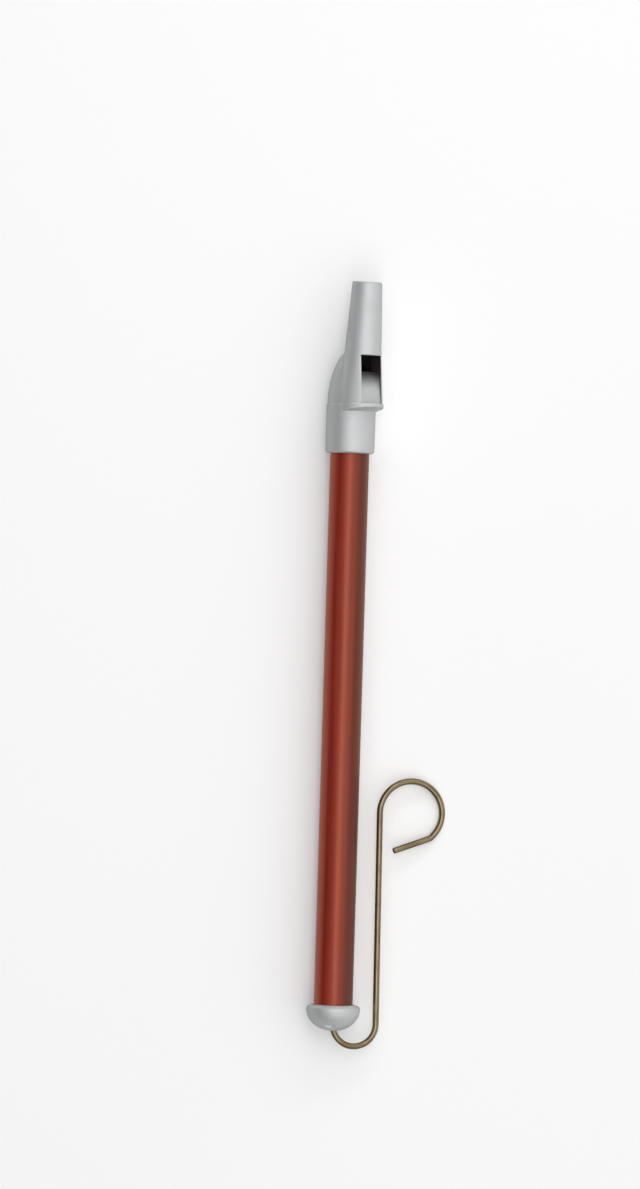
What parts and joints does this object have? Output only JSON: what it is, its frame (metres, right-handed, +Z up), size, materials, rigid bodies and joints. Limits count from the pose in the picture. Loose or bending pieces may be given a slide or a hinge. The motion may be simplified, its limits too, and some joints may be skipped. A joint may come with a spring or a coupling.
{
  "type": "slide whistle",
  "caption": "Slide whistle: a metal tube with a whistle head at one end and a domed cap at the other, played by a wire plunger that ends in a finger loop.",
  "frame": {"origin": "on the table under the middle of the whole whistle's box, with the plunger pushed right in", "axes": "+X along the tube toward the mouthpiece, -Y toward the wire handle's side, +Z up; the window faces halfway between +Z and -Y"},
  "size_m": [0.3128, 0.0544, 0.0241],
  "materials": {
    "silver_moulding": "satin silver metallised moulding",
    "dark_plastic": "plain moulded",
    "red_tube": "satin red metallic coating on a drawn tube",
    "wire": "bright drawn wire with a bronze tone",
    "steel": "zinc plated",
    "sleeve_brass": "turned",
    "felt": "pressed wool felt"
  },
  "bodies": {
    "body": {"head": "silver_moulding", "windway_plug": "dark_plastic", "ferrule": "silver_moulding", "tube": "red_tube", "end_cap": "silver_moulding", "felt_stop": "felt"},
    "packing": {"packing_disc_1": "felt", "packing_disc_2": "felt", "packing_disc_3": "felt"},
    "plunger": {"plunger_wire": "wire", "front_nut": "steel", "front_washer": "steel", "spacer_sleeve": "sleeve_brass", "rear_washer": "steel", "rear_nut": "steel"}
  },
  "joints": [
    {"name": "plunger_slide", "type": "slide", "parent": "body", "child": "packing", "axis": [-1, 0, 0], "range_m": [0, 0.208]},
    {"name": "plunger_turn", "type": "hinge", "parent": "packing", "child": "plunger", "pos_m": [0.07535, 0.01619, 0.011], "axis": [1, 0, 0], "continuous": true}
  ]
}
